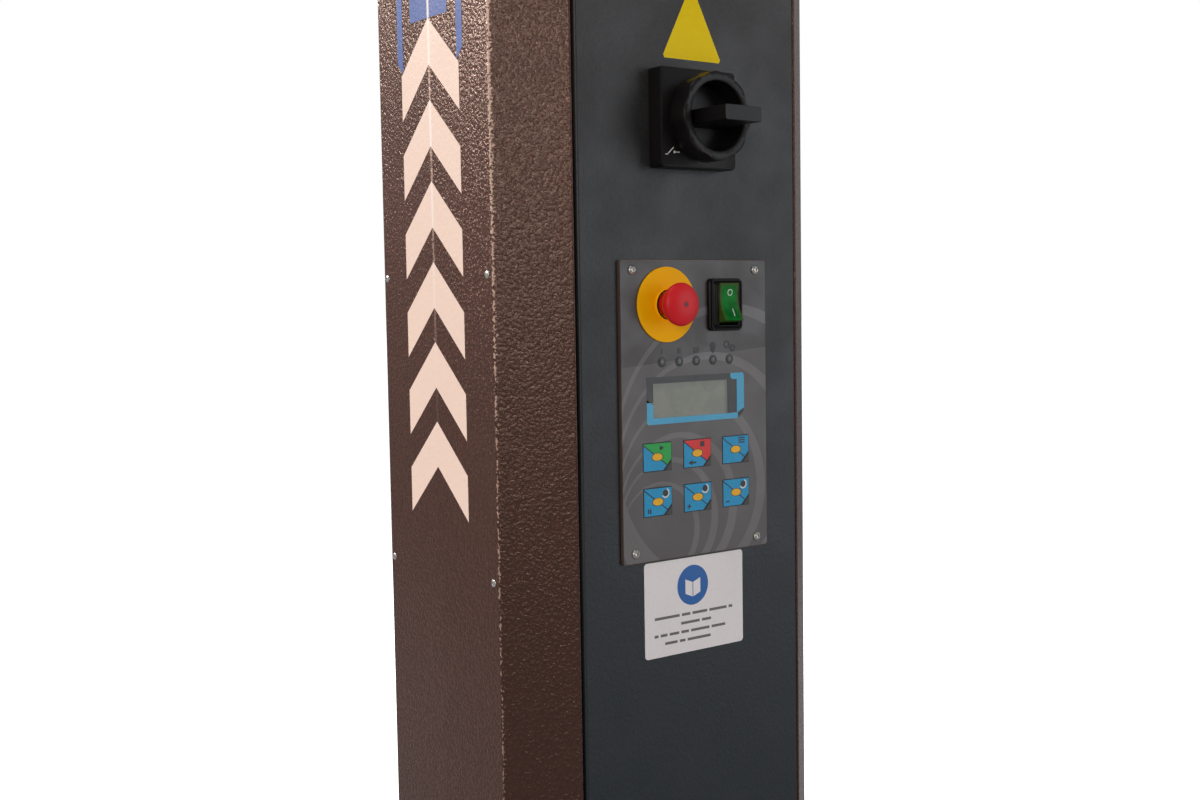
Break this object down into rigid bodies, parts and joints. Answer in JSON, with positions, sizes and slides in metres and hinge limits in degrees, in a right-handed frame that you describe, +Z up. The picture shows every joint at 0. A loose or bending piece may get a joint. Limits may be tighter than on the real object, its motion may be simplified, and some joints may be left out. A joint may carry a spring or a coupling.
{
  "type": "turntable pallet wrapper",
  "caption": "Turntable pallet wrapper: low round turntable, slim mast with operator controls and main switch, and a lifting film carriage on the mast's back.",
  "frame": {"origin": "on the floor, on the turntable's spin axis", "axes": "+Z up; the mast stands on the -Y side with its operator face towards -Y; +X to the operator's right"},
  "size_m": [1.4998, 2.3039, 2.286],
  "materials": {
    "mast_paint": "hammered orange-peel paint, semi-gloss",
    "front_paint": "fine textured anthracite paint, satin",
    "base_paint": "textured anthracite paint, satin",
    "table_paint": "worn textured paint",
    "bright_steel": "zinc plated",
    "steel_gear": "machined, oiled",
    "roller_nylon": "turned nylon",
    "motor_paint": "cast housing, painted",
    "belt_rubber": "matte",
    "idle_steel": "ground and plated",
    "core_plastic": "moulded",
    "black_plastic": "moulded",
    "boot_rubber": "matte",
    "green_cap": "translucent moulded",
    "red_head": "moulded",
    "yellow_disc": "printed",
    "plate_aluminium": "brushed",
    "overlay_film": "printed film",
    "window_glass": "clear",
    "key_blue": "printed film",
    "key_green": "printed film",
    "key_red": "printed film",
    "board_resin": "solder mask",
    "zinc_plate": "galvanised"
  },
  "bodies": {
    "machine": {"base_cover": "base_paint", "base_frame": "base_paint", "cable_gland": "black_plastic", "center_spindle": "bright_steel", "control_board": "board_resin", "control_overlay": "overlay_film", "control_plate": "plate_aluminium", "display_window": "window_glass", "drive_chain": "bright_steel", "estop_body": "black_plastic", "estop_disc": "yellow_disc", "foot_bolts": "bright_steel", "front_panel": "front_paint", "guide_rails": "bright_steel", "idler_bracket": "base_paint", "inverters": "black_plastic", "lift_belt": "belt_rubber", "lift_gearmotor": "motor_paint", "mast_cap": "mast_paint", "mast_column": "base_paint", "mast_foot": "base_paint", "mounting_plate": "zinc_plate", "plate_screws": "bright_steel", "rocker_boot": "boot_rubber", "roller_brackets": "base_paint", "side_panel_left": "mast_paint", "side_panel_right": "mast_paint", "side_screws": "bright_steel", "switch_base": "black_plastic", "table_gearmotor": "motor_paint"},
    "turntable": {"turntable_plate": "table_paint", "turntable_frame": "base_paint", "turntable_sprocket": "steel_gear"},
    "drive_sprocket": {"drive_sprocket": "steel_gear"},
    "support_roller_1": {"support_roller_1": "roller_nylon"},
    "support_roller_2": {"support_roller_2": "roller_nylon"},
    "support_roller_3": {"support_roller_3": "roller_nylon"},
    "support_roller_4": {"support_roller_4": "roller_nylon"},
    "carriage": {"carriage_frame": "base_paint", "slide_shoes": "roller_nylon", "belt_clamp": "bright_steel", "film_spindle": "bright_steel", "brake_drum": "black_plastic", "photocell": "black_plastic"},
    "reel_core": {"reel_core": "core_plastic"},
    "brake_roller": {"brake_roller": "belt_rubber"},
    "idle_roller": {"idle_roller": "idle_steel"},
    "brake_knob": {"brake_knob": "black_plastic"},
    "lift_pulley": {"lift_pulley": "steel_gear"},
    "idler_pulley": {"idler_pulley": "steel_gear"},
    "key_1": {"key_1": "key_green"},
    "key_2": {"key_2": "key_red"},
    "key_3": {"key_3": "key_blue"},
    "key_4": {"key_4": "key_blue"},
    "key_5": {"key_5": "key_blue"},
    "key_6": {"key_6": "key_blue"},
    "estop_stem": {"estop_stem": "black_plastic"},
    "estop_button": {"estop_button": "red_head"},
    "rocker_cap": {"rocker_cap": "green_cap"},
    "switch_handle": {"switch_handle": "black_plastic"}
  },
  "joints": [
    {"name": "turntable_spin", "type": "hinge", "parent": "machine", "child": "turntable", "pos_m": [0, 0, 0.08], "axis": [0, 0, 1], "continuous": true},
    {"name": "drive_sprocket_spin", "type": "hinge", "parent": "machine", "child": "drive_sprocket", "pos_m": [0, -1.342, 0.04], "axis": [0, 0, 1], "continuous": true},
    {"name": "support_roller_1_spin", "type": "hinge", "parent": "machine", "child": "support_roller_1", "pos_m": [0.59, 0, 0.0427], "axis": [1, 0, 0], "continuous": true},
    {"name": "support_roller_2_spin", "type": "hinge", "parent": "machine", "child": "support_roller_2", "pos_m": [0, 0.59, 0.0427], "axis": [0, 1, 0], "continuous": true},
    {"name": "support_roller_3_spin", "type": "hinge", "parent": "machine", "child": "support_roller_3", "pos_m": [-0.59, 0, 0.0427], "axis": [-1, 0, 0], "continuous": true},
    {"name": "support_roller_4_spin", "type": "hinge", "parent": "machine", "child": "support_roller_4", "pos_m": [0, -0.59, 0.0427], "axis": [0, -1, 0], "continuous": true},
    {"name": "carriage_lift", "type": "slide", "parent": "machine", "child": "carriage", "axis": [0, 0, 1], "range_m": [0, 1.5]},
    {"name": "lift_pulley_spin", "type": "hinge", "parent": "machine", "child": "lift_pulley", "pos_m": [0, -1.302, 2.2], "axis": [1, 0, 0], "range_deg": [0, 2705]},
    {"name": "idler_pulley_spin", "type": "hinge", "parent": "machine", "child": "idler_pulley", "pos_m": [0, -1.302, 0.42], "axis": [1, 0, 0], "range_deg": [0, 2705]},
    {"name": "reel_spin", "type": "hinge", "parent": "carriage", "child": "reel_core", "pos_m": [-0.11, -1.04, 0.138], "axis": [0, 0, 1], "continuous": true},
    {"name": "brake_roller_spin", "type": "hinge", "parent": "carriage", "child": "brake_roller", "pos_m": [0.125, -1.115, 0.12], "axis": [0, 0, 1], "continuous": true},
    {"name": "idle_roller_spin", "type": "hinge", "parent": "carriage", "child": "idle_roller", "pos_m": [0.19, -1.005, 0.12], "axis": [0, 0, 1], "continuous": true},
    {"name": "brake_knob_turn", "type": "hinge", "parent": "carriage", "child": "brake_knob", "pos_m": [0.125, -1.115, 0.76], "axis": [0, 0, 1], "range_deg": [0, 270]},
    {"name": "key_1_press", "type": "slide", "parent": "machine", "child": "key_1", "axis": [0, 1, 0], "range_m": [0, 0.0004], "stiffness_N_per_m": 1500},
    {"name": "key_2_press", "type": "slide", "parent": "machine", "child": "key_2", "axis": [0, 1, 0], "range_m": [0, 0.0004], "stiffness_N_per_m": 1500},
    {"name": "key_3_press", "type": "slide", "parent": "machine", "child": "key_3", "axis": [0, 1, 0], "range_m": [0, 0.0004], "stiffness_N_per_m": 1500},
    {"name": "key_4_press", "type": "slide", "parent": "machine", "child": "key_4", "axis": [0, 1, 0], "range_m": [0, 0.0004], "stiffness_N_per_m": 1500},
    {"name": "key_5_press", "type": "slide", "parent": "machine", "child": "key_5", "axis": [0, 1, 0], "range_m": [0, 0.0004], "stiffness_N_per_m": 1500},
    {"name": "key_6_press", "type": "slide", "parent": "machine", "child": "key_6", "axis": [0, 1, 0], "range_m": [0, 0.0004], "stiffness_N_per_m": 1500},
    {"name": "estop_press", "type": "slide", "parent": "machine", "child": "estop_stem", "axis": [0, 1, 0], "range_m": [0, 0.005]},
    {"name": "estop_twist", "type": "hinge", "parent": "estop_stem", "child": "estop_button", "pos_m": [-0.031, -1.485, 1.3496], "axis": [0, 1, 0], "range_deg": [0, 30], "stiffness_Nm_per_rad": 0.05},
    {"name": "rocker_tilt", "type": "hinge", "parent": "machine", "child": "rocker_cap", "pos_m": [0.0306, -1.465, 1.3487], "axis": [1, 0, 0], "range_deg": [0, 20]},
    {"name": "main_switch_turn", "type": "hinge", "parent": "machine", "child": "switch_handle", "pos_m": [-0.0045, -1.465, 1.496], "axis": [0, 1, 0], "range_deg": [0, 90]}
  ],
  "couplings": [
    {"joint": "drive_sprocket_spin", "follows": "turntable_spin", "ratio": 4},
    {"joint": "support_roller_1_spin", "follows": "turntable_spin", "ratio": -23.6},
    {"joint": "support_roller_2_spin", "follows": "turntable_spin", "ratio": -23.6},
    {"joint": "support_roller_3_spin", "follows": "turntable_spin", "ratio": -23.6},
    {"joint": "support_roller_4_spin", "follows": "turntable_spin", "ratio": -23.6},
    {"joint": "lift_pulley_spin", "follows": "carriage_lift", "rad_per_m": 31.447},
    {"joint": "idler_pulley_spin", "follows": "carriage_lift", "rad_per_m": 31.447}
  ]
}
